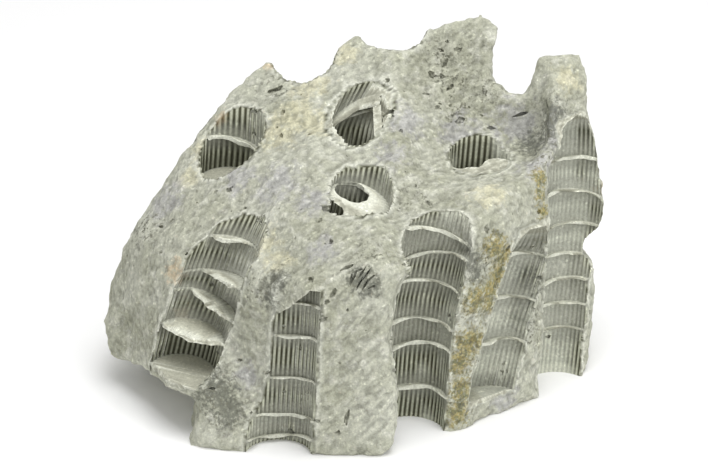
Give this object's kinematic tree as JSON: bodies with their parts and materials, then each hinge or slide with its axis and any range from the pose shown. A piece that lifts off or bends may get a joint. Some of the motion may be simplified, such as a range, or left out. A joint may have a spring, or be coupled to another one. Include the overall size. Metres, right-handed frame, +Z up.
{
  "type": "fossil fletcheria coral",
  "caption": "Broken block of pale limestone with ribbed coral tubes that show as open grooves and holes.",
  "frame": {"origin": "below the middle of the block, on the plane it rests on", "axes": "+Z up along the tubes, +X to the right along the block's longer side, -Y towards the broken face with the open grooves"},
  "size_m": [0.0625, 0.0424, 0.0433],
  "materials": {
    "limestone": "rough"
  },
  "bodies": {
    "root": {"coral_block": "limestone"}
  },
  "joints": []
}
